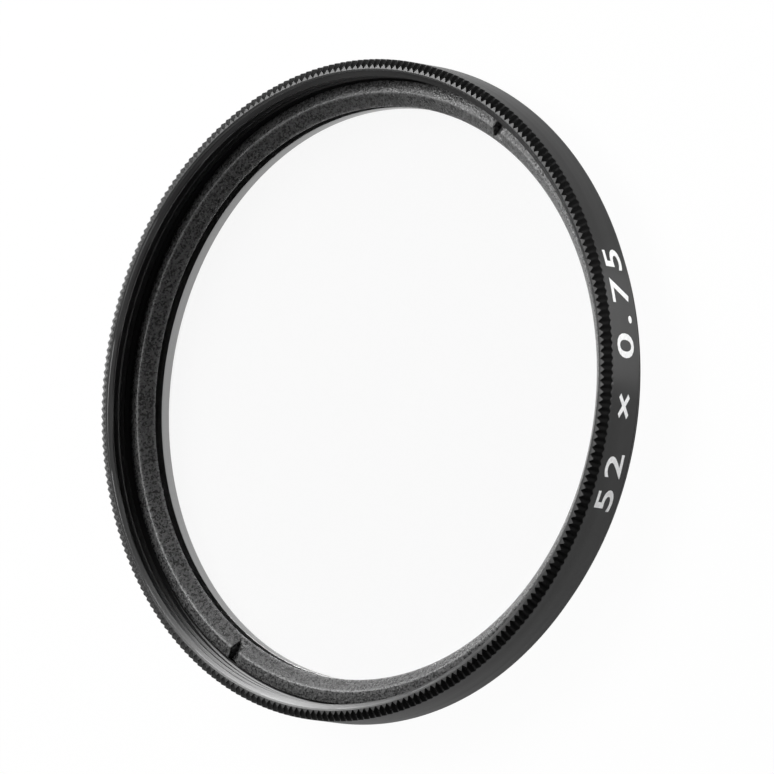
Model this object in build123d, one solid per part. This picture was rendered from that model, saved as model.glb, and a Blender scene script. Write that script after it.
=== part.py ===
from build123d import *
from math import pi
import os

# Screw-in lens filter, lying on its rear thread with the front up.
# Millimetres. Z is the optical axis, and z = 0 is the rear end of the frame.

# Threads, the same size in front and behind
thread_diameter = 52.0
thread_pitch = 0.75
thread_fit = 0.05
front_thread_length = 1.65
rear_thread_length = 1.85
rear_thread_chamfer = 0.35

# Frame, outwards and inwards from the thread
rim_overhang = 1.0
back_edge_chamfer = 0.1
mouth_flare = 0.15
mouth_depth = 0.25
thread_runout = 0.55
runout_taper = 0.1
seat_wall = 1.15
lip_width = 1.35
lip_thickness = 0.9
rear_edge_chamfer = 0.3
step_below_glass = 0.15

# Glass disc
glass_thickness = 1.5
glass_clearance = 0.1
glass_bevel = 0.15

# Retaining ring
ring_height = 1.1
ring_shoulder_drop = 0.3
ring_bore_land = 0.1
ring_head_clearance = 0.05
ridge_inset = 0.85
notch_count = 2
notch_width = 0.9
notch_depth = 0.75

# Knurl on the front edge, V-shaped teeth that run out into the band
knurl_pitch = 0.606
knurl_depth = 0.4
knurl_height = 0.65
front_land = 0.05

# Depth of a 60 degree thread form, as a share of its pitch
THREAD_FORM = 0.541

# Radii that follow
thread_radius = thread_diameter / 2
female_radius = thread_radius - THREAD_FORM * thread_pitch
rim_radius = thread_radius + rim_overhang
mouth_radius = thread_radius + mouth_flare
ring_bore_radius = female_radius - runout_taper
seat_radius = thread_radius - seat_wall
glass_radius = seat_radius - glass_clearance
aperture_radius = glass_radius - lip_width
ring_radius = ring_bore_radius - thread_fit
ridge_radius = ring_radius - ridge_inset
groove_radius = mouth_radius + front_land
crest_radius = groove_radius + knurl_depth

# Heights that follow
shoulder_z = rear_thread_length
seat_z = rear_edge_chamfer + lip_thickness
glass_top_z = seat_z + glass_thickness
step_z = glass_top_z - step_below_glass
ring_top_z = glass_top_z + ring_height
ring_shoulder_z = ring_top_z - ring_shoulder_drop
thread_start_z = ring_top_z + ring_head_clearance
runout_z = thread_start_z - thread_runout
thread_end_z = thread_start_z + front_thread_length
front_z = thread_end_z + mouth_depth
knurl_teeth = round(2 * pi * crest_radius / knurl_pitch)


def turned(*points):
    """Revolve a closed outline of (radius, height) points about the optical axis."""
    outline = Plane.XZ * make_face(Polyline(*points, close=True))
    return revolve(outline, Axis.Z)


def frame_blank():
    """The turned frame before its edge is knurled."""
    return turned(
        (aperture_radius + rear_edge_chamfer, 0),
        (thread_radius - rear_thread_chamfer, 0),
        (thread_radius, rear_thread_chamfer),
        (thread_radius, shoulder_z),
        (rim_radius - back_edge_chamfer, shoulder_z),
        (rim_radius, shoulder_z + back_edge_chamfer),
        (rim_radius, front_z),
        (mouth_radius, front_z),
        (female_radius, thread_end_z),
        (female_radius, thread_start_z),
        (ring_bore_radius, runout_z),
        (ring_bore_radius, step_z),
        (seat_radius, step_z),
        (seat_radius, seat_z),
        (aperture_radius, seat_z),
        (aperture_radius, rear_edge_chamfer),
    )


def knurl_corners(z):
    """Corners of the toothed outline at height z: it widens backwards, in proportion."""
    growth = 1 + (rim_radius / groove_radius - 1) * (front_z - z) / knurl_height
    half_tooth = 180 / knurl_teeth
    corners = []
    for k in range(2 * knurl_teeth):
        radius = crest_radius if k % 2 else groove_radius
        corners.append(Vector(growth * radius, 0, z).rotate(Axis.Z, k * half_tooth))
    return corners


def knurl_envelope():
    """A toothed cone, flat-sided, that leaves the teeth standing on the front edge."""
    low = knurl_corners(-knurl_height)
    high = knurl_corners(front_z + knurl_height)
    faces = [Face(Wire.make_polygon(low)), Face(Wire.make_polygon(high))]
    for k in range(len(low)):
        faces.append(Face(Wire.make_polygon([low[k - 1], low[k], high[k], high[k - 1]])))
    return Solid(Shell(faces))


def filter_ring():
    """The frame: knurled rim, plain band, a thread at each end and the glass seat."""
    return frame_blank() & knurl_envelope()


def filter_glass():
    """The flat glass disc with ground edges."""
    return turned(
        (0, seat_z),
        (glass_radius - glass_bevel, seat_z),
        (glass_radius, seat_z + glass_bevel),
        (glass_radius, glass_top_z - glass_bevel),
        (glass_radius - glass_bevel, glass_top_z),
        (0, glass_top_z),
    )


def retaining_ring():
    """The screwed ring that holds the glass down, slotted for a spanner."""
    body = turned(
        (aperture_radius, glass_top_z),
        (ring_radius, glass_top_z),
        (ring_radius, ring_shoulder_z),
        (ridge_radius, ring_top_z),
        (aperture_radius, glass_top_z + ring_bore_land),
    )
    slot = Box(2 * (ring_radius - aperture_radius), notch_width, 2 * notch_depth)
    slot_place = Pos((ring_radius + aperture_radius) / 2, 0, ring_top_z)
    return body - PolarLocations(0, notch_count) * (slot_place * slot)


pieces = {
    "filter_ring": filter_ring(),
    "filter_glass": filter_glass(),
    "retaining_ring": retaining_ring(),
}

os.makedirs("parts", exist_ok=True)
for name, solid in pieces.items():
    export_step(solid, f"parts/{name}.step")
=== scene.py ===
"""Looks of a screw-in lens filter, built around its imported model.

Everything is in metres. The filter lies on its rear thread with its front up, and Z is the
optical axis.
"""

import logging
import math
from dataclasses import dataclass
from enum import Enum
from typing import Iterable

import bmesh
import bpy
from mathutils import Matrix, Vector


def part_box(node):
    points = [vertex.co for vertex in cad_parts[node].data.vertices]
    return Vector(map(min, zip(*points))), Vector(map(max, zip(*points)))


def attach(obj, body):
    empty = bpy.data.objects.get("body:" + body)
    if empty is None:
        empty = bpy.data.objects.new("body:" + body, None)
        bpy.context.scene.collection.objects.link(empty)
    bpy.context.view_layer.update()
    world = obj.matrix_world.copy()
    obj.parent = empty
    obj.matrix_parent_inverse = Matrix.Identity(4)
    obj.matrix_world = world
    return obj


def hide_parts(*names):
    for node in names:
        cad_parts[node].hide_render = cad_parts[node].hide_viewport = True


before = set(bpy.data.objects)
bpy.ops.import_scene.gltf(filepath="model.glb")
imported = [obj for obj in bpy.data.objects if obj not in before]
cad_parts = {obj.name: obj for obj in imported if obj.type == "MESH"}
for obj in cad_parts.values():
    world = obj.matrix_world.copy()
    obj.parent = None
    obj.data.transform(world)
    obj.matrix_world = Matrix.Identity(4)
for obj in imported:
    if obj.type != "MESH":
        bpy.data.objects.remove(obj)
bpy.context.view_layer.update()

log = logging.getLogger("lens_filter")

Mesh = bmesh.types.BMesh
Tree = bpy.types.NodeTree
Socket = bpy.types.NodeSocket
Material = bpy.types.Material
Piece = bpy.types.Object

MM = 0.001
BODY = "root"
ORIGIN = Vector((0.0, 0.0, 0.0))
AXIS = Vector((0.0, 0.0, 1.0))
WELD = 0.0005 * MM
SHARP_ANGLE = math.radians(28.0)
QUARTER_TURN = 0.25
THREAD_PITCH = 0.75 * MM
ROUND_CUTS = 3

# Range in which a noise texture mostly stays
MASK_LOW = 0.3
MASK_HIGH = 0.7


class Slot(Enum):
    """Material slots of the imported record."""

    FRAME = "anodised_frame"
    GLASS = "clear_glass"
    RING = "blasted_ring"


class Region(Enum):
    """Faces of the frame that take a finish of their own, in the order of its materials."""

    BODY = 0
    LIP = 1
    BAND = 2
    SEAT = 3
    KNURL = 4


class Side(Enum):
    """Side of a wall on which a thread stands."""

    INWARD = -1
    OUTWARD = 1


@dataclass(frozen=True)
class Corner:
    """One corner of a turned outline.

    Attributes:
        radius: Distance from the optical axis.
        height: Height above the rear end.
        rounding: Length cut from each edge at the corner, 0 for a corner that stays sharp.
    """

    radius: float
    height: float
    rounding: float = 0.0


# Shared modelling steps


def draw_outline(mesh: Mesh, corners: Iterable[Corner], segments: int = 2) -> None:
    """Draw a closed outline in the XZ plane, with its corners rounded.

    Args:
        mesh: Empty bmesh that takes the outline's edges.
        corners: Corners in order.
        segments: Edges along each rounding.
    """
    drawn = [(mesh.verts.new((c.radius, 0.0, c.height)), c.rounding) for c in corners]
    mesh.faces.new([vert for vert, _ in drawn])
    for size in sorted({rounding for _, rounding in drawn if rounding > 0}):
        rounded = [vert for vert, rounding in drawn if rounding == size and vert.is_valid]
        bmesh.ops.bevel(
            mesh,
            geom=rounded,
            offset=size,
            offset_type="OFFSET",
            segments=segments,
            profile=0.5,
            affect="VERTICES",
            material=-1,
        )
    bmesh.ops.delete(mesh, geom=mesh.faces[:], context="FACES_ONLY")


def turn(mesh: Mesh, steps: int, angle: float = math.tau, rise: float = 0.0) -> None:
    """Spin all that a bmesh holds about the optical axis.

    Args:
        mesh: Bmesh with an outline's edges.
        steps: Columns along the spin.
        angle: Angle of the whole spin.
        rise: Climb along the axis over the whole spin.
    """
    bmesh.ops.spin(
        mesh,
        geom=mesh.verts[:] + mesh.edges[:],
        cent=ORIGIN,
        axis=AXIS,
        dvec=AXIS * (rise / steps),
        angle=angle,
        steps=steps,
        use_merge=math.isclose(angle, math.tau) and rise == 0.0,
    )


def close_up(mesh: Mesh) -> None:
    """Merge doubled vertices, drop faces with no area and turn all faces outwards."""
    bmesh.ops.remove_doubles(mesh, verts=mesh.verts[:], dist=WELD)
    bmesh.ops.dissolve_degenerate(mesh, edges=mesh.edges[:], dist=WELD)
    bmesh.ops.recalc_face_normals(mesh, faces=mesh.faces[:])


def make_piece(name: str, mesh: Mesh, materials: list[Material]) -> Piece:
    """Turn a finished bmesh into an object at the origin that rides with the filter.

    Args:
        name: Name of the piece.
        mesh: Finished bmesh, which is freed.
        materials: Materials in the order of the faces' indices.

    Returns:
        The new object.
    """
    data = bpy.data.meshes.new(name)
    mesh.to_mesh(data)
    mesh.free()
    for material in materials:
        data.materials.append(material)
    data.shade_smooth()
    data.set_sharp_from_angle(angle=SHARP_ANGLE)
    piece = bpy.data.objects.new(name, data)
    bpy.context.scene.collection.objects.link(piece)
    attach(piece, BODY)
    log.info("%s: %d vertices, %d faces", name, len(data.vertices), len(data.polygons))
    return piece


# Shader node groups and finishes


def new_group(name: str, inputs: dict[str, float]) -> Tree:
    """Make an empty shader node group that puts out a height and a mottling.

    Args:
        name: Name of the group.
        inputs: Default value of each input.

    Returns:
        The group's node tree, with its input and output nodes named In and Out.
    """
    tree = bpy.data.node_groups.new(name, "ShaderNodeTree")
    for key, value in inputs.items():
        socket = tree.interface.new_socket(key, in_out="INPUT", socket_type="NodeSocketFloat")
        socket.default_value = value
    for key in ("Height", "Mottle"):
        tree.interface.new_socket(key, in_out="OUTPUT", socket_type="NodeSocketFloat")
    tree.nodes.new("NodeGroupInput").name = "In"
    tree.nodes.new("NodeGroupOutput").name = "Out"
    return tree


def fill(tree: Tree, node: bpy.types.Node, links: dict[str | int, object]) -> None:
    """Fill a node's inputs.

    Args:
        tree: Node tree that holds the node.
        node: Node whose inputs are filled.
        links: Input name or index to an output socket or a plain value.
    """
    for key, source in links.items():
        if isinstance(source, Socket):
            tree.links.new(source, node.inputs[key])
        else:
            node.inputs[key].default_value = source


def add_node(
    tree: Tree, kind: str, links: dict[str | int, object] | None = None, **values: object
) -> bpy.types.Node:
    """Add a node, set its properties and fill its inputs.

    Args:
        tree: Node tree that takes the node.
        kind: Blender's type name of the node.
        links: Input name or index to an output socket or a plain value.
        **values: Properties of the node itself.

    Returns:
        The new node.
    """
    node = tree.nodes.new(kind)
    for key, value in values.items():
        setattr(node, key, value)
    fill(tree, node, links or {})
    return node


def maths(tree: Tree, operation: str, *sources: object) -> Socket:
    """Add a Math node on sockets or numbers, in order, and return its result."""
    links = dict(enumerate(sources))
    return add_node(tree, "ShaderNodeMath", links, operation=operation).outputs[0]


def object_place(tree: Tree) -> Socket:
    """Add a Texture Coordinate node and return its Object output."""
    return add_node(tree, "ShaderNodeTexCoord").outputs["Object"]


def noise(tree: Tree, place: Socket, scale: Socket | float, detail: float = 2.0) -> Socket:
    """Add a noise texture that reads a place, and return its value."""
    links = {"Vector": place, "Scale": scale, "Detail": detail}
    return add_node(tree, "ShaderNodeTexNoise", links).outputs[0]


def axis_distance(tree: Tree) -> tuple[Socket, ...]:
    """Add nodes that measure a point from the optical axis.

    Args:
        tree: Node tree that takes the nodes.

    Returns:
        The distance from the axis, the height and the unit vector away from the axis.
    """
    parts = add_node(tree, "ShaderNodeSeparateXYZ", {0: object_place(tree)}).outputs
    flat = add_node(tree, "ShaderNodeCombineXYZ", {0: parts[0], 1: parts[1]}).outputs[0]
    radius = add_node(tree, "ShaderNodeVectorMath", {0: flat}, operation="LENGTH").outputs["Value"]
    away = add_node(tree, "ShaderNodeVectorMath", {0: flat}, operation="NORMALIZE").outputs[0]
    return radius, parts[2], away


class TurnedMarks:
    """Fine rings that a lathe tool leaves, as a height and a mottling."""

    RUN_LENGTH = 6.0 * MM
    BROAD_SCALE = 0.13
    BROAD_DETAIL = 3.0

    @staticmethod
    def group() -> Tree:
        """Build the group once, and give it again later.

        Returns:
            A group from line spacing and run length to a height and a mottling.
        """
        known = bpy.data.node_groups.get("turned_marks")
        if known:
            return known
        inputs = {"Line spacing": 0.05 * MM, "Run length": TurnedMarks.RUN_LENGTH}
        tree = new_group("turned_marks", inputs)
        source = tree.nodes["In"].outputs
        radius, height, along = axis_distance(tree)
        across = maths(tree, "ADD", radius, height)
        lines = maths(tree, "DIVIDE", across, source["Line spacing"])
        runs = maths(tree, "DIVIDE", radius, source["Run length"])
        unrolled = {0: along, "Scale": runs}
        around = add_node(tree, "ShaderNodeVectorMath", unrolled, operation="SCALE").outputs[0]
        parts = add_node(tree, "ShaderNodeSeparateXYZ", {0: around}).outputs
        links = {0: parts[0], 1: parts[1], 2: lines}
        spot = add_node(tree, "ShaderNodeCombineXYZ", links).outputs[0]
        fine = noise(tree, spot, 1.0)
        broad = noise(tree, spot, TurnedMarks.BROAD_SCALE, TurnedMarks.BROAD_DETAIL)
        fill(tree, tree.nodes["Out"], {"Height": fine, "Mottle": broad})
        return tree


class BlastGrain:
    """Pitted grain of a blasted surface, as a height and a mottling."""

    PIT_WEIGHT = 0.6
    CLOUD_SCALE = 0.55
    CLOUD_DETAIL = 3.0

    @staticmethod
    def group() -> Tree:
        """Build the group once, and give it again later.

        Returns:
            A group from grain size to a height and a mottling.
        """
        known = bpy.data.node_groups.get("blast_grain")
        if known:
            return known
        tree = new_group("blast_grain", {"Grain size": 0.1 * MM})
        place = object_place(tree)
        scale = maths(tree, "DIVIDE", 1.0, tree.nodes["In"].outputs["Grain size"])
        sizes = {"Vector": place, "Scale": scale}
        dimples = add_node(tree, "ShaderNodeTexVoronoi", sizes, feature="SMOOTH_F1")
        pits = maths(tree, "MULTIPLY", dimples.outputs["Distance"], BlastGrain.PIT_WEIGHT)
        cells = add_node(tree, "ShaderNodeTexVoronoi", sizes).outputs["Color"]
        specks = add_node(tree, "ShaderNodeSeparateColor", {0: cells}).outputs[0]
        cloud_scale = maths(tree, "MULTIPLY", scale, BlastGrain.CLOUD_SCALE)
        clouds = noise(tree, place, cloud_scale, BlastGrain.CLOUD_DETAIL)
        height = maths(tree, "ADD", pits, clouds)
        mottle = maths(tree, "MULTIPLY", maths(tree, "ADD", specks, clouds), 0.5)
        fill(tree, tree.nodes["Out"], {"Height": height, "Mottle": mottle})
        return tree


def new_material(name: str) -> tuple[Material, Tree, bpy.types.Node]:
    """Make a material that holds one Principled shader.

    Args:
        name: Name of the material.

    Returns:
        The material, its node tree and its Principled node.
    """
    material = bpy.data.materials.new(name)
    material.use_nodes = True
    tree = material.node_tree
    return material, tree, tree.nodes["Principled BSDF"]


def spread(tree: Tree, mask: Socket, low: float, high: float) -> Socket:
    """Map a noise mask onto the range from low to high, and return the value."""
    span = {"From Min": MASK_LOW, "From Max": MASK_HIGH, "To Min": low, "To Max": high}
    return add_node(tree, "ShaderNodeMapRange", {"Value": mask} | span).outputs[0]


def tint(tree: Tree, mask: Socket, dark: float, light: float) -> Socket:
    """Blend a dark and a light neutral grey by a noise mask, and return the colour."""
    value = spread(tree, mask, dark, light)
    return add_node(tree, "ShaderNodeCombineColor", {0: value, 1: value, 2: value}).outputs[0]


def raised(tree: Tree, height: Socket, relief: float) -> Socket:
    """Add a Bump node in which a height of 1 stands for the relief, and return its normal."""
    links = {"Height": height, "Distance": relief, "Strength": 1.0}
    return add_node(tree, "ShaderNodeBump", links).outputs[0]


@dataclass(frozen=True)
class TurnedFinish:
    """A lathe-turned surface with fine rings, anodised or bare.

    Attributes:
        name: Name of the material.
        smooth: Roughness of its smoothest spots.
        rough: Roughness of its roughest spots.
        specular: Specular level of the skin.
        line_spacing: Spacing of the rings.
        relief: Height of the rings.
        dark: Darkest grey of its mottling.
        light: Lightest grey of its mottling.
        anisotropy: Stretch of the gloss across the rings.
        metallic: 0 for the anodised skin, 1 for bare metal.
    """

    name: str
    smooth: float
    rough: float
    specular: float
    line_spacing: float
    relief: float
    dark: float = 0.008
    light: float = 0.014
    anisotropy: float = 0.0
    metallic: float = 0.0

    def material(self) -> Material:
        """Build the material.

        Returns:
            The material, with the marks on Object coordinates.
        """
        material, tree, shader = new_material(self.name)
        marks = add_node(
            tree,
            "ShaderNodeGroup",
            {"Line spacing": self.line_spacing, "Run length": TurnedMarks.RUN_LENGTH},
            node_tree=TurnedMarks.group(),
        )
        height, mottle = marks.outputs["Height"], marks.outputs["Mottle"]
        tangent = add_node(tree, "ShaderNodeTangent", direction_type="RADIAL", axis="Z")
        sockets = {
            "Base Color": tint(tree, mottle, self.dark, self.light),
            "Roughness": spread(tree, mottle, self.smooth, self.rough),
            "Normal": raised(tree, height, self.relief),
            "Tangent": tangent.outputs[0],
            "Metallic": self.metallic,
            "Anisotropic": self.anisotropy,
            "Anisotropic Rotation": QUARTER_TURN,
            "Specular IOR Level": self.specular,
        }
        fill(tree, shader, sockets)
        return material


@dataclass(frozen=True)
class BlastedFinish:
    """A blasted and anodised surface with a visible grain and a painted highlight along two edges.

    Attributes:
        name: Name of the material.
        dark: Darkest grey of its mottling.
        light: Lightest grey of its mottling.
        smooth: Roughness of its smoothest spots.
        rough: Roughness of its roughest spots.
        specular: Specular level of the skin.
        grain_size: Size of one pit.
        relief: Depth of the pits.
        highlight_radii: Radii of the edges along which a paler grey is painted as a highlight.
        highlight_width: Distance over which the painted highlight fades.
        highlight_grey: Grey of the painted highlight at its fullest.
    """

    name: str
    dark: float
    light: float
    smooth: float
    rough: float
    specular: float
    grain_size: float
    relief: float
    highlight_radii: tuple[float, ...]
    highlight_width: float
    highlight_grey: float

    # Least share of the painted highlight, where the grain breaks it up
    LEAST_HIGHLIGHT = 0.35

    def paint_highlight(self, tree: Tree, mottle: Socket) -> Socket:
        """Mask the painted highlights along the edges, broken up by the grain.

        Args:
            tree: Node tree that takes the nodes.
            mottle: Mottling of the grain.

        Returns:
            A mask that is 1 where the painted highlight is full.
        """
        radius = axis_distance(tree)[0]
        mask: Socket | float = 0.0
        for highlight_radius in self.highlight_radii:
            distance = maths(tree, "ABSOLUTE", maths(tree, "SUBTRACT", radius, highlight_radius))
            links = {"Value": distance, "From Max": self.highlight_width, "To Min": 1.0, "To Max": 0.0}
            near = add_node(tree, "ShaderNodeMapRange", links, interpolation_type="SMOOTHSTEP")
            mask = maths(tree, "MAXIMUM", mask, near.outputs[0])
        return maths(tree, "MULTIPLY", mask, spread(tree, mottle, self.LEAST_HIGHLIGHT, 1.0))

    def material(self) -> Material:
        """Build the material.

        Returns:
            The material, with the grain on Object coordinates.
        """
        material, tree, shader = new_material(self.name)
        grain = add_node(
            tree, "ShaderNodeGroup", {"Grain size": self.grain_size}, node_tree=BlastGrain.group()
        )
        mottle = grain.outputs["Mottle"]
        # Painted highlight: a paler grey along the ridge and the opening's edge, standing in for
        # light caught there
        highlight_mask = self.paint_highlight(tree, mottle)
        skin = tint(tree, mottle, self.dark, self.light)
        # Grey of the painted highlight on the edges
        bare = (self.highlight_grey, self.highlight_grey, self.highlight_grey, 1.0)
        colour = add_node(tree, "ShaderNodeMix", {0: highlight_mask, 6: skin, 7: bare}, data_type="RGBA")
        sockets = {
            "Base Color": colour.outputs[2],
            "Roughness": spread(tree, mottle, self.smooth, self.rough),
            "Normal": raised(tree, grain.outputs["Height"], self.relief),
            "Specular IOR Level": self.specular,
        }
        fill(tree, shader, sockets)
        return material


@dataclass(frozen=True)
class GlassFinish:
    """Clear polished glass, which lets light rays through to what lies under it.

    Attributes:
        name: Name of the material.
        colour: Colour of the glass.
        ior: Refractive index.
        smear: Roughness that faint smears add.
        smear_scale: Scale of the smears' noise.
    """

    name: str = "clear_glass"
    colour: tuple[float, float, float, float] = (1.0, 1.0, 1.0, 1.0)
    ior: float = 1.5
    smear: float = 0.01
    smear_scale: float = 120.0

    def material(self) -> Material:
        """Build the material.

        Returns:
            The material, which shadow and diffuse rays pass unbent.
        """
        material, tree, shader = new_material(self.name)
        film = noise(tree, object_place(tree), self.smear_scale)
        sockets = {
            "Base Color": self.colour,
            "Roughness": spread(tree, film, 0.0, self.smear),
            "Transmission Weight": 1.0,
            "IOR": self.ior,
        }
        fill(tree, shader, sockets)
        paths = add_node(tree, "ShaderNodeLightPath").outputs
        passing = maths(tree, "MAXIMUM", paths["Is Shadow Ray"], paths["Is Diffuse Ray"])
        clear = add_node(tree, "ShaderNodeBsdfTransparent").outputs[0]
        mixed = add_node(tree, "ShaderNodeMixShader", {0: passing, 1: shader.outputs[0], 2: clear})
        tree.links.new(mixed.outputs[0], tree.nodes["Material Output"].inputs["Surface"])
        return material


@dataclass(frozen=True)
class PrintFinish:
    """White screen-printed ink.

    Attributes:
        name: Name of the material.
        dark: Grey of its thin spots.
        light: Grey of its full spots.
        roughness: Roughness of the ink.
        mottle_scale: Scale of its mottling's noise.
    """

    name: str = "white_ink"
    dark: float = 0.78
    light: float = 0.92
    roughness: float = 0.5
    mottle_scale: float = 4000.0

    def material(self) -> Material:
        """Build the material.

        Returns:
            The material, with a fine mottle on Object coordinates.
        """
        material, tree, shader = new_material(self.name)
        mottle = noise(tree, object_place(tree), self.mottle_scale)
        colour = tint(tree, mottle, self.dark, self.light)
        fill(tree, shader, {"Base Color": colour, "Roughness": self.roughness})
        return material


ANODISED = TurnedFinish(
    name="satin_black_anodise",
    smooth=0.36,
    rough=0.44,
    anisotropy=0.65,
    specular=0.5,
    line_spacing=0.06 * MM,
    relief=0.0006 * MM,
)
THREADED = TurnedFinish(
    name="glossy_black_thread",
    smooth=0.27,
    rough=0.34,
    anisotropy=0.5,
    specular=0.85,
    line_spacing=0.05 * MM,
    relief=0.0008 * MM,
)
KNURLED = TurnedFinish(
    name="dull_black_knurl",
    dark=0.006,
    light=0.012,
    smooth=0.16,
    rough=0.24,
    specular=0.08,
    line_spacing=0.08 * MM,
    relief=0.0008 * MM,
)
BAND = TurnedFinish(
    name="brushed_black_band",
    smooth=0.36,
    rough=0.43,
    anisotropy=1.0,
    specular=0.56,
    line_spacing=0.05 * MM,
    relief=0.0006 * MM,
)
MATTE_SEAT = TurnedFinish(
    name="matte_black_seat",
    dark=0.004,
    light=0.008,
    smooth=0.7,
    rough=0.8,
    specular=0.3,
    line_spacing=0.1 * MM,
    relief=0.001 * MM,
)
BARE_LIP = TurnedFinish(
    name="bare_turned_lip",
    dark=0.25,
    light=0.34,
    metallic=1.0,
    smooth=0.26,
    rough=0.36,
    anisotropy=0.3,
    specular=0.5,
    line_spacing=0.08 * MM,
    relief=0.001 * MM,
)
BLASTED = BlastedFinish(
    name="blasted_black_anodise",
    dark=0.03,
    light=0.115,
    smooth=0.22,
    rough=0.44,
    specular=0.42,
    grain_size=0.13 * MM,
    relief=0.06 * MM,
    # Painted highlight: a paler grey along the ridge and the opening's edge
    highlight_radii=(24.42 * MM, 23.4 * MM),
    highlight_width=0.18 * MM,
    highlight_grey=0.2,
)


# The pieces of the filter


@dataclass
class FrameRing:
    """The knurled frame, with a band for a marking and a seat for the glass.

    Attributes:
        rim: Radius of the band.
        front: Height of the front edge.
        print_room: Depth by which the band lies under the rim, for the ink.
        teeth: Number of knurl teeth.
        groove: Radius of the knurl's grooves at the front edge.
        crest: Radius of its crests there.
        groove_run: Depth at which a groove runs out into the band.
        crest_run: Depth at which a crest does.
        tip: Half width of a crest, as a share of the knurl's pitch.
        valley: Half width of a groove's floor, likewise.
        edge: Rounding of the teeth's edges.
        tip_drop: Drop of the front face from the mouth to a crest.
        mouth: Radius of the mouth at the front edge.
        thread: Radius of the front thread's roots.
        bore: Radius of the wall that holds the retaining ring.
        seat: Radius of the glass seat.
        aperture: Radius of the clear opening.
        core: Radius of the rear thread's roots.
        shoulder: Height of the shoulder behind the band.
        ledge: Height of the ledge under the glass.
        step: Height of the step above the seat.
        runout: Height at which the ring's wall ends.
        thread_start: Height at which the front thread starts.
        thread_top: Height at which its roots end in the mouth.
        rear_chamfer: Size of the chamfer behind the lip.
        back_round: Rounding behind the band.
    """

    rim: float
    front: float
    print_room: float = 0.015 * MM
    teeth: int = 276
    groove: float = 26.2 * MM
    crest: float = 26.52 * MM
    groove_run: float = 0.6 * MM
    crest_run: float = 0.42 * MM
    tip: float = 0.05
    valley: float = 0.05
    edge: float = 0.03 * MM
    tip_drop: float = 0.08 * MM
    mouth: float = 26.14 * MM
    thread: float = 26.0 * MM
    bore: float = 25.494 * MM
    seat: float = 24.85 * MM
    aperture: float = 23.4 * MM
    core: float = 25.52 * MM
    shoulder: float = 1.85 * MM
    ledge: float = 1.2 * MM
    step: float = 2.55 * MM
    runout: float = 3.3 * MM
    thread_start: float = 3.85 * MM
    thread_top: float = 5.686 * MM
    rear_chamfer: float = 0.3 * MM
    back_round: float = 0.06 * MM

    COLUMNS = 4
    FRONT_FACING = 0.9
    EASED = 0.03 * MM
    REAR_ROUND = 0.05 * MM
    MOUTH_ROUND = 0.02 * MM

    @property
    def band(self) -> float:
        """Radius of the bare band."""
        return self.rim - self.print_room

    def corners(self) -> list[Corner]:
        """Corners of the frame's section through a crest of the knurl.

        Returns:
            Corners from the lip's rear edge outwards, round the rim and back down the inside.
        """
        small = self.EASED
        return [
            Corner(self.aperture + self.rear_chamfer, 0.0, small),
            Corner(self.core, 0.0, self.REAR_ROUND),
            Corner(self.core, self.shoulder, small),
            Corner(self.band, self.shoulder, self.back_round),
            Corner(self.band, self.front - self.groove_run - 4 * self.edge),
            Corner(self.band, self.front - self.crest_run - self.edge),
            Corner(self.band - self.edge / 2, self.front - self.crest_run),
            Corner(self.crest, self.front - self.edge),
            Corner(self.crest - self.edge, self.front),
            Corner(self.mouth, self.front, self.MOUTH_ROUND),
            Corner(self.thread, self.thread_top),
            Corner(self.thread, self.thread_start),
            Corner(self.bore, self.runout, small),
            Corner(self.bore, self.step, small),
            Corner(self.seat, self.step, small),
            Corner(self.seat, self.ledge),
            Corner(self.aperture, self.ledge, small),
            Corner(self.aperture, self.rear_chamfer, small),
        ]

    def shape_tooth(self, mesh: Mesh) -> None:
        """Cut one groove into a sector of the frame that is one tooth wide.

        Args:
            mesh: Bmesh with the sector, turned from angle 0 in COLUMNS steps.
        """
        pitch = math.tau / self.teeth
        places = [-self.valley, self.valley, 0.5 - self.tip, 0.5 + self.tip, 1.0 - self.valley]
        columns: list[list[bmesh.types.BMVert]] = [[] for _ in places]
        for vert in mesh.verts:
            angle = math.atan2(vert.co.y, vert.co.x)
            columns[round(angle / pitch * self.COLUMNS)].append(vert)
        for index, (verts, place) in enumerate(zip(columns, places)):
            swing = (place - index / self.COLUMNS) * pitch
            bmesh.ops.rotate(mesh, verts=verts, cent=ORIGIN, matrix=Matrix.Rotation(swing, 3, "Z"))
        grooves = columns[0] + columns[1] + columns[4]
        high = self.front - 2 * self.edge
        front_edge = [v for v in grooves if v.co.z > high and v.co.xy.length > self.groove]
        run = [
            v
            for v in grooves
            if v.co.xy.length > self.band - self.edge
            and abs(self.front - v.co.z - self.crest_run) < 2 * self.edge
        ]
        share = self.groove / self.crest
        bmesh.ops.scale(mesh, verts=front_edge, vec=(share, share, 1.0))
        bmesh.ops.translate(mesh, verts=run, vec=AXIS * (self.crest_run - self.groove_run))
        slope = self.tip_drop / (self.crest - self.mouth)
        for vert in mesh.verts:
            reach = vert.co.xy.length - self.mouth
            if vert.co.z > high and reach > self.edge / 2:
                vert.co.z -= slope * (reach - self.edge / 2)

    def build(self) -> Mesh:
        """Turn one tooth's sector, cut its groove and repeat it all round.

        Returns:
            The frame's bmesh, with its regions on the faces' material indices.
        """
        mesh = bmesh.new()
        draw_outline(mesh, self.corners(), segments=ROUND_CUTS)
        pitch = math.tau / self.teeth
        turn(mesh, self.COLUMNS, pitch)
        self.shape_tooth(mesh)
        bmesh.ops.spin(
            mesh,
            geom=mesh.verts[:] + mesh.edges[:] + mesh.faces[:],
            cent=ORIGIN,
            axis=AXIS,
            angle=math.tau - pitch,
            steps=self.teeth - 1,
            use_duplicate=True,
        )
        close_up(mesh)
        mesh.normal_update()
        for face in mesh.faces:
            face.material_index = self.region(face.calc_center_median(), face.normal.z).value
        return mesh

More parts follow.
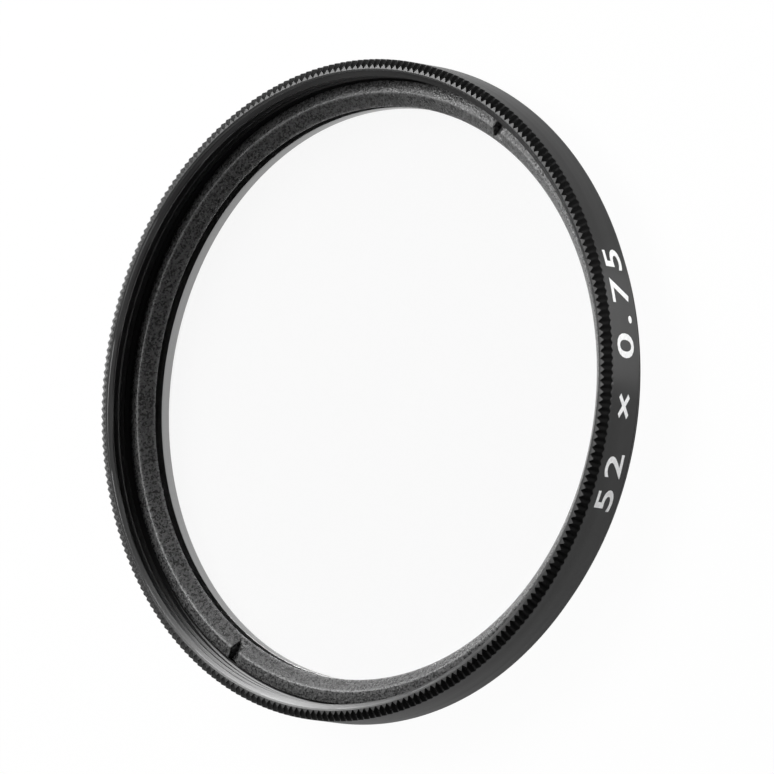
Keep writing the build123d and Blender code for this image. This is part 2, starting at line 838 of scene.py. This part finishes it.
    def region(self, middle: Vector, upward: float) -> Region:
        """Tell which finish a face of the frame takes.

        Args:
            middle: Middle of the face.
            upward: Share of its normal that points to the front.

        Returns:
            The face's region.
        """
        radius = middle.xy.length
        if radius < self.aperture + self.edge and middle.z > self.rear_chamfer:
            return Region.LIP
        if radius < self.bore - self.edge and middle.z > self.ledge - self.edge:
            return Region.SEAT
        behind = radius > self.crest and middle.z < self.shoulder + self.back_round
        if radius > self.band - self.edge or behind:
            return Region.BAND
        outer = radius > self.mouth + self.edge and middle.z > self.thread_start
        if outer and upward < self.FRONT_FACING:
            return Region.KNURL
        return Region.BODY

    def dress(self, finishes: dict[Region, Material]) -> None:
        """Make the frame's piece.

        Args:
            finishes: Material of each region.
        """
        piece = make_piece("filter_frame", self.build(), [finishes[region] for region in Region])
        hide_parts("filter_ring")


@dataclass
class ThreadTurns:
    """The helical ridge of a thread, on the inside or the outside of a wall.

    Attributes:
        name: Name of the piece.
        side: Side of the wall on which the ridge stands.
        root: Radius of the wall.
        crest: Radius of the ridge's top.
        pitch: Climb of one turn.
        crest_share: Width of the ridge's flat top, as a share of the pitch.
        low: Height of the ridge's middle at its lower end.
        high: Height of its middle at its upper end.
        end_angle: Angle of its upper end around the axis.
        open_height: Height of the chamfer's open end.
        cone_radius: Radius of the chamfer there.
        cone_slope: Climb of the chamfer for each unit of radius.
    """

    name: str
    side: Side
    root: float
    crest: float
    pitch: float
    crest_share: float
    low: float
    high: float
    end_angle: float
    open_height: float
    cone_radius: float
    cone_slope: float

    STEPS_PER_TURN = 240
    FLANK_CUTS = 4
    ROOT_SHARE = 0.9
    BURIED = 0.02 * MM

    @property
    def base(self) -> float:
        """Radius of the ridge's base, which lies inside the wall."""
        return self.root - self.side.value * self.BURIED

    def cut(self, place: Vector) -> Vector:
        """Move a point of the ridge onto the chamfer where the chamfer cuts it.

        Args:
            place: Point of the ridge before.

        Returns:
            The point on the ridge, on the chamfer or where the chamfer meets the wall.
        """
        radius = place.xy.length
        if self.side is Side.INWARD:
            height = min(place.z, self.open_height)
            limit = self.cone_radius + (height - self.open_height) / self.cone_slope
            share = max(radius, limit) / radius
        else:
            height = max(place.z, self.open_height)
            limit = self.cone_radius + (height - self.open_height) / self.cone_slope
            share = min(radius, limit) / radius
        return Vector((place.x * share, place.y * share, height))

    def build(self) -> Mesh:
        """Spin the ridge's section along a helix, cut it to the chamfer and close its ends.

        Returns:
            The ridge's bmesh, a closed body whose base lies inside the wall.
        """
        mesh = bmesh.new()
        half_root = self.ROOT_SHARE * self.pitch / 2
        half_crest = self.crest_share * self.pitch / 2
        section = [
            Corner(self.base, self.low - half_root),
            Corner(self.crest, self.low - half_crest),
            Corner(self.crest, self.low + half_crest),
            Corner(self.base, self.low + half_root),
        ]
        draw_outline(mesh, section)
        bmesh.ops.subdivide_edges(mesh, edges=mesh.edges[:], cuts=self.FLANK_CUTS)
        climb = self.high - self.low
        turns = climb / self.pitch
        start = Matrix.Rotation(self.end_angle - turns * math.tau, 3, "Z")
        bmesh.ops.rotate(mesh, verts=mesh.verts[:], cent=ORIGIN, matrix=start)
        turn(mesh, round(turns * self.STEPS_PER_TURN), turns * math.tau, climb)
        for vert in mesh.verts:
            vert.co = self.cut(vert.co)
        bmesh.ops.holes_fill(mesh, edges=[e for e in mesh.edges if e.is_boundary], sides=0)
        close_up(mesh)
        return mesh

    def dress(self, black: Material) -> None:
        """Make the thread's piece from its material."""
        piece = make_piece(self.name, self.build(), [black])


@dataclass
class GlassDisc:
    """The flat glass with ground edges.

    Attributes:
        radius: Radius of the disc.
        low: Height of its rear face.
        high: Height of its front face.
        bevel: Size of the ground edges.
        gap: Gap left to the faces that hold it.
    """

    radius: float
    low: float
    high: float
    bevel: float = 0.15 * MM
    gap: float = 0.01 * MM

    STEPS = 180

    def build(self) -> Mesh:
        """Turn the disc from half its section.

        Returns:
            The disc's bmesh.
        """
        mesh = bmesh.new()
        low, high = self.low + self.gap, self.high - self.gap
        half_section = [
            (0.0, low),
            (self.radius - self.bevel, low),
            (self.radius, low + self.bevel),
            (self.radius, high - self.bevel),
            (self.radius - self.bevel, high),
            (0.0, high),
        ]
        verts = [mesh.verts.new((radius, 0.0, height)) for radius, height in half_section]
        for first, second in zip(verts, verts[1:]):
            mesh.edges.new((first, second))
        turn(mesh, self.STEPS)
        close_up(mesh)
        return mesh

    def dress(self, glass: Material) -> None:
        """Make the glass piece.

        Args:
            glass: Material of the disc.
        """
        piece = make_piece("glass_disc", self.build(), [glass])
        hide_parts("filter_glass")


@dataclass
class RetainingRing:
    """The slotted ring that holds the glass down.

    Attributes:
        radius: Outer radius.
        low: Height of its rear face.
        high: Height of its ridge.
        aperture: Radius of its opening.
        ridge: Radius of its ridge.
        shoulder: Drop from the ridge to its outer edge.
        land: Height of the wall at its opening.
        slot_width: Width of a spanner slot.
        slot_depth: Depth of a slot below the ridge.
        slot_break: Rounding of a slot's upper edges.
    """

    radius: float
    low: float
    high: float
    aperture: float = 23.4 * MM
    ridge: float = 24.42 * MM
    shoulder: float = 0.3 * MM
    land: float = 0.1 * MM
    slot_width: float = 0.9 * MM
    slot_depth: float = 0.75 * MM
    slot_break: float = 0.09 * MM

    STEPS = 360
    EDGE_ROUND = 0.05 * MM
    RIDGE_ROUND = 0.1 * MM
    LAND_ROUND = 0.03 * MM

    def corners(self) -> list[Corner]:
        """Corners of the ring's section.

        Returns:
            Corners from the opening outwards along the rear face, then back over the front.
        """
        return [
            Corner(self.aperture, self.low),
            Corner(self.radius, self.low),
            Corner(self.radius, self.high - self.shoulder, self.EDGE_ROUND),
            Corner(self.ridge, self.high, self.RIDGE_ROUND),
            Corner(self.aperture, self.low + self.land, self.LAND_ROUND),
        ]

    def cut_slots(self, mesh: Mesh) -> None:
        """Cut the two spanner slots, which lie on the X axis.

        Args:
            mesh: Bmesh with the whole turned ring.
        """
        half = self.slot_width / 2
        floor = self.high - self.slot_depth
        for side in (-half, half):
            bmesh.ops.bisect_plane(
                mesh,
                geom=mesh.verts[:] + mesh.edges[:] + mesh.faces[:],
                plane_co=(0.0, side, 0.0),
                plane_no=(0.0, 1.0, 0.0),
                dist=WELD,
            )
        inside = [f for f in mesh.faces if abs(f.calc_center_median().y) < half]
        held = {e for f in inside for e in f.edges} | {v for f in inside for v in f.verts}
        bmesh.ops.bisect_plane(
            mesh,
            geom=list(held) + inside,
            plane_co=(0.0, 0.0, floor),
            plane_no=AXIS,
            dist=WELD,
        )
        gone = [
            f
            for f in mesh.faces
            if abs(f.calc_center_median().y) < half and f.calc_center_median().z > floor
        ]
        bmesh.ops.delete(mesh, geom=gone, context="FACES")
        for sign in (-1, 1):
            rims = [
                e
                for e in mesh.edges
                if e.is_boundary
                and all(abs(v.co.z - floor) < WELD for v in e.verts)
                and all(v.co.x * sign > 0 for v in e.verts)
            ]
            bmesh.ops.bridge_loops(mesh, edges=rims)
        bmesh.ops.holes_fill(mesh, edges=[e for e in mesh.edges if e.is_boundary], sides=0)

    def round_slots(self, mesh: Mesh) -> None:
        """Break the upper edges of the slots.

        Args:
            mesh: Bmesh with the ring and its open slots.
        """
        half = self.slot_width / 2
        floor = self.high - self.slot_depth
        lips = [
            e
            for e in mesh.edges
            if all(abs(abs(v.co.y) - half) < WELD for v in e.verts)
            and all(v.co.z > floor - WELD for v in e.verts)
            and any(v.co.z > floor + WELD for v in e.verts)
            and e.calc_face_angle(0.0) > SHARP_ANGLE
        ]
        bmesh.ops.bevel(
            mesh,
            geom=lips,
            offset=self.slot_break,
            offset_type="OFFSET",
            segments=ROUND_CUTS,
            profile=0.5,
            affect="EDGES",
            material=-1,
            clamp_overlap=True,
        )

    def build(self) -> Mesh:
        """Turn the ring and cut its slots.

        Returns:
            The ring's bmesh.
        """
        mesh = bmesh.new()
        draw_outline(mesh, self.corners(), segments=ROUND_CUTS)
        turn(mesh, self.STEPS)
        close_up(mesh)
        self.cut_slots(mesh)
        self.round_slots(mesh)
        close_up(mesh)
        return mesh

    def dress(self, blasted: Material) -> None:
        """Make the ring's piece.

        Args:
            blasted: Material of the ring.
        """
        piece = make_piece("glass_retainer", self.build(), [blasted])
        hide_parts("retaining_ring")


@dataclass
class SizeMark:
    """The printed thread size on the band, in plain figures.

    Attributes:
        text: Figures of the mark.
        band: Radius of the band that carries it.
        middle: Height of the figures' middle.
        start: Angle at which the mark starts.
        end: Angle at which it ends.
        cap: Height of the figures.
        ink: Thickness of the ink.
    """

    text: str
    band: float
    middle: float
    start: float
    end: float
    cap: float = 2.1 * MM
    ink: float = 0.01 * MM

    BOLDER = 0.012
    SPACING = 1.3
    CURVE_CUTS = 4
    FLAT_WELD = 0.0005
    SPLITS = 3
    LONGEST = 0.06

    def flat_mesh(self) -> Mesh:
        """Write the figures flat, one unit of size high, as a mesh.

        Returns:
            A bmesh of the figures in the XY plane, without thickness.
        """
        curve = bpy.data.curves.new("size_mark_outline", "FONT")
        curve.body = self.text
        curve.offset = self.BOLDER
        curve.space_character = self.SPACING
        curve.resolution_u = self.CURVE_CUTS
        writing = bpy.data.objects.new("size_mark_outline", curve)
        bpy.context.scene.collection.objects.link(writing)
        bpy.context.view_layer.update()
        graph = bpy.context.evaluated_depsgraph_get()
        flat = bpy.data.meshes.new_from_object(writing.evaluated_get(graph))
        mesh = bmesh.new()
        mesh.from_mesh(flat)
        bpy.data.objects.remove(writing)
        bpy.data.curves.remove(curve)
        bpy.data.meshes.remove(flat)
        return mesh

    def build(self) -> Mesh:
        """Write the figures and lay them on the band.

        Returns:
            The mark's bmesh.
        """
        mesh = self.flat_mesh()
        bmesh.ops.remove_doubles(mesh, verts=mesh.verts[:], dist=self.FLAT_WELD)
        along, upward = [[v.co[i] for v in mesh.verts] for i in (0, 1)]
        low_x, high_x = min(along), max(along)
        low_y, high_y = min(upward), max(upward)
        height = self.cap / (high_y - low_y)
        width = (self.end - self.start) * self.band / (high_x - low_x)
        middle = (low_y + high_y) / 2
        bmesh.ops.triangulate(mesh, faces=mesh.faces[:])
        for _ in range(self.SPLITS):
            long_edges = [
                e for e in mesh.edges if abs(e.verts[0].co.x - e.verts[1].co.x) > self.LONGEST
            ]
            bmesh.ops.subdivide_edges(mesh, edges=long_edges, cuts=1)
            bmesh.ops.triangulate(mesh, faces=mesh.faces[:])
        bmesh.ops.recalc_face_normals(mesh, faces=mesh.faces[:])
        top = bmesh.ops.extrude_face_region(mesh, geom=mesh.faces[:])["geom"]
        lifted = [g for g in top if isinstance(g, bmesh.types.BMVert)]
        bmesh.ops.translate(mesh, verts=lifted, vec=AXIS)
        for vert in mesh.verts:
            angle = self.start + (vert.co.x - low_x) * width / self.band
            radius = self.band + (vert.co.z - 0.5) * self.ink
            rise = self.middle + (vert.co.y - middle) * height
            vert.co = (radius * math.cos(angle), radius * math.sin(angle), rise)
        bmesh.ops.recalc_face_normals(mesh, faces=mesh.faces[:])
        return mesh

    def dress(self, ink: Material) -> None:
        """Make the mark's piece from its material."""
        make_piece("size_mark", self.build(), [ink])


# The studio


@dataclass(frozen=True)
class Lamp:
    """A soft rectangular lamp that faces the filter.

    Attributes:
        name: Name of the lamp.
        turn_by: Degrees around the axis from the camera's side, clockwise from above.
        rise: Degrees above the horizon.
        width: Width of its face.
        height: Height of its face.
        radiance: Brightness of its face, where 1 is white.
        reach: Distance from the middle of the filter's front.
    """

    name: str
    turn_by: float
    rise: float
    width: float
    height: float
    radiance: float
    reach: float = 0.5


LAMPS = (
    Lamp("key_softbox", turn_by=235.0, rise=33.0, width=0.22, height=0.22, radiance=5.8),
    Lamp("low_key", turn_by=225.0, rise=18.0, width=0.2, height=0.16, radiance=3.5),
    Lamp("top_softbox", turn_by=205.0, rise=45.0, width=0.22, height=0.22, radiance=13.4),
    Lamp("crown_light", turn_by=186.0, rise=69.0, width=0.13, height=0.13, radiance=9.5),
    Lamp("fill_panel", turn_by=145.0, rise=46.0, width=0.22, height=0.22, radiance=1.0),
    Lamp(
        "low_strip", turn_by=334.0, rise=-2.5, width=0.036, height=0.004, radiance=34.0, reach=0.07
    ),
)


@dataclass
class Studio:
    """A white floor, soft light and the camera.

    Attributes:
        middle: Point on the axis in the plane of the front edge.
        azimuth: Direction of the camera around the axis, 0 at -Y and turning towards +X.
        elevation: Height of the camera above the horizon.
        roll: Turn of the picture.
        distance: Distance of the camera.
        pixel: Size of one pixel at that distance.
        aim: Pixels from the front edge's middle to the picture's, rightwards and upwards.
        frame_pixels: Width of the picture.
        floor_glow: Share of plain white in the floor that is looked at.
        horizon: Brightness of the surround at the horizon.
        overhead: Brightness of the surround above.
    """

    middle: Vector
    azimuth: float = math.radians(23.2)
    elevation: float = math.radians(49.647)
    roll: float = math.radians(81.361)
    distance: float = 1.2
    pixel: float = MM / 12.337
    aim: tuple[float, float] = (37.5, 2.07)
    frame_pixels: int = 774
    floor_glow: float = 0.968
    horizon: float = 0.1
    overhead: float = 0.04

    SENSOR = 36.0
    CLIP = (0.05, 20.0)
    FLOOR_RADIUS = 8.0
    FLOOR_SIDES = 64
    FLOOR_GREYS = (0.86, 0.88)
    FLOOR_ROUGHNESS = 0.9
    FLOOR_MOTTLE = 8.0
    WALL_FADE = (0.04, 0.12)
    DIM_TOP = 0.5

    def way(self, turn_by: float, rise: float) -> Vector:
        """Direction from the axis, measured from the camera's side.

        Args:
            turn_by: Degrees around the axis from the camera's side, clockwise from above.
            rise: Degrees above the horizon.

        Returns:
            The unit vector.
        """
        angle = self.azimuth - math.radians(turn_by)
        up = math.radians(rise)
        flat = math.cos(up)
        return Vector((math.sin(angle) * flat, -math.cos(angle) * flat, math.sin(up)))

    def add_camera(self) -> None:
        """Place the camera at the photograph's viewing angle."""
        back = self.way(0.0, math.degrees(self.elevation))
        level = AXIS.cross(back).normalized()
        upright = back.cross(level)
        right = level * math.cos(self.roll) - upright * math.sin(self.roll)
        up = level * math.sin(self.roll) + upright * math.cos(self.roll)
        target = self.middle + (right * self.aim[0] + up * self.aim[1]) * self.pixel
        data = bpy.data.cameras.new("camera")
        data.sensor_width = self.SENSOR
        data.lens = self.SENSOR * self.distance / (self.frame_pixels * self.pixel)
        data.clip_start, data.clip_end = self.CLIP
        camera = bpy.data.objects.new("camera", data)
        axes = Matrix((right, up, back)).transposed().to_4x4()
        camera.matrix_world = Matrix.Translation(target + back * self.distance) @ axes
        bpy.context.scene.collection.objects.link(camera)
        bpy.context.scene.camera = camera

    def add_lamp(self, lamp: Lamp) -> None:
        """Hang one lamp.

        Args:
            lamp: Place, size and brightness of the lamp.
        """
        data = bpy.data.lights.new(lamp.name, "AREA")
        data.shape = "RECTANGLE"
        data.size, data.size_y = lamp.width, lamp.height
        data.energy = lamp.radiance * math.pi * lamp.width * lamp.height
        away = self.way(lamp.turn_by, lamp.rise)
        facing = away.to_track_quat("Z", "Y").to_matrix().to_4x4()
        hung = bpy.data.objects.new(lamp.name, data)
        hung.matrix_world = Matrix.Translation(self.middle + away * lamp.reach) @ facing
        hung.visible_camera = False
        bpy.context.scene.collection.objects.link(hung)

    def seen(self, tree: Tree, mirrored: Socket | float = 1.0) -> Socket:
        """Mask of the rays that look at the background.

        Args:
            tree: Node tree that takes the nodes.
            mirrored: Share of the background that glossy rays see.

        Returns:
            1 for camera and transmission rays, and that share for glossy rays.
        """
        paths = add_node(tree, "ShaderNodeLightPath").outputs
        direct = maths(tree, "MAXIMUM", paths["Is Camera Ray"], paths["Is Transmission Ray"])
        glossy = maths(tree, "MULTIPLY", paths["Is Glossy Ray"], mirrored)
        return maths(tree, "MAXIMUM", direct, glossy)

    def add_floor(self) -> None:
        """Lay the white floor, which keeps a soft shadow."""
        material, tree, shader = new_material("white_floor")
        mottle = noise(tree, object_place(tree), self.FLOOR_MOTTLE)
        sockets = {
            "Base Color": tint(tree, mottle, *self.FLOOR_GREYS),
            "Roughness": self.FLOOR_ROUGHNESS,
            "Specular IOR Level": 0.0,
        }
        fill(tree, shader, sockets)
        glow = add_node(tree, "ShaderNodeEmission", {"Strength": 1.0})
        share = maths(tree, "MULTIPLY", self.seen(tree), self.floor_glow)
        layers = {0: share, 1: shader.outputs[0], 2: glow.outputs[0]}
        mixed = add_node(tree, "ShaderNodeMixShader", layers)
        fill(tree, tree.nodes["Material Output"], {"Surface": mixed.outputs[0]})
        mesh = bmesh.new()
        bmesh.ops.create_circle(
            mesh, cap_ends=True, segments=self.FLOOR_SIDES, radius=self.FLOOR_RADIUS
        )
        data = bpy.data.meshes.new("floor")
        mesh.to_mesh(data)
        mesh.free()
        data.materials.append(material)
        floor = bpy.data.objects.new("floor", data)
        bpy.context.scene.collection.objects.link(floor)

    def add_world(self) -> None:
        """Give the world a white surround to look at, and a dim one to light with."""
        world = bpy.data.worlds.new("studio")
        bpy.context.scene.world = world
        world.use_nodes = True
        tree = world.node_tree
        background = tree.nodes["Background"]
        place = add_node(tree, "ShaderNodeTexCoord").outputs["Generated"]
        height = add_node(tree, "ShaderNodeSeparateXYZ", {0: place}).outputs[2]
        foot, top = self.WALL_FADE
        wall = {"Value": height, "From Min": foot, "From Max": top, "To Min": 1.0, "To Max": 0.0}
        backdrop = add_node(tree, "ShaderNodeMapRange", wall).outputs[0]
        span = {"From Max": self.DIM_TOP, "To Min": self.horizon, "To Max": self.overhead}
        dim = add_node(tree, "ShaderNodeMapRange", {"Value": height} | span).outputs[0]
        strength = maths(tree, "MAXIMUM", self.seen(tree, backdrop), dim)
        fill(tree, background, {"Color": (1.0, 1.0, 1.0, 1.0), "Strength": strength})

    def set_up(self) -> None:
        """Build the whole studio."""
        self.add_camera()
        self.add_floor()
        self.add_world()
        for lamp in LAMPS:
            self.add_lamp(lamp)
        bpy.context.scene.view_settings.view_transform = "Standard"


def main() -> None:
    """Build the filter and its studio."""
    logging.basicConfig(level=logging.INFO)
    frame_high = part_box("filter_ring")[1]
    glass_low, glass_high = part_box("filter_glass")
    ring_low, ring_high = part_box("retaining_ring")

    black = ANODISED.material()
    body = FrameRing(rim=frame_high.x, front=frame_high.z)
    finishes = {
        Region.BODY: black,
        Region.LIP: BARE_LIP.material(),
        Region.BAND: BAND.material(),
        Region.SEAT: MATTE_SEAT.material(),
        Region.KNURL: KNURLED.material(),
    }
    body.dress(finishes)
    threaded = THREADED.material()
    front_thread = ThreadTurns(
        name="front_thread",
        side=Side.INWARD,
        root=body.thread,
        crest=25.594 * MM,
        pitch=THREAD_PITCH,
        crest_share=0.25,
        low=body.runout,
        high=6.03 * MM,
        end_angle=math.radians(8.2),
        open_height=body.thread_top,
        cone_radius=body.thread,
        cone_slope=0.458,
    )
    front_thread.dress(threaded)
    rear_thread = ThreadTurns(
        name="rear_thread",
        side=Side.OUTWARD,
        root=body.core,
        crest=26.0 * MM,
        pitch=THREAD_PITCH,
        crest_share=0.125,
        low=-0.25 * MM,
        high=body.shoulder + 0.36 * MM,
        end_angle=0.0,
        open_height=0.02 * MM,
        cone_radius=25.67 * MM,
        cone_slope=1.0,
    )
    rear_thread.dress(threaded)
    disc = GlassDisc(radius=glass_high.x, low=glass_low.z, high=glass_high.z)
    disc.dress(GlassFinish().material())
    ring = RetainingRing(radius=ring_high.x, low=ring_low.z, high=ring_high.z)
    ring.dress(BLASTED.material())
    mark = SizeMark(
        text="52 × 0.75",
        band=body.band,
        middle=(body.shoulder + body.front - body.groove_run) / 2,
        start=math.radians(279.0),
        end=math.radians(325.0),
    )
    mark.dress(PrintFinish().material())
    Studio(middle=AXIS * body.front).set_up()


if __name__ == "__main__":
    main()
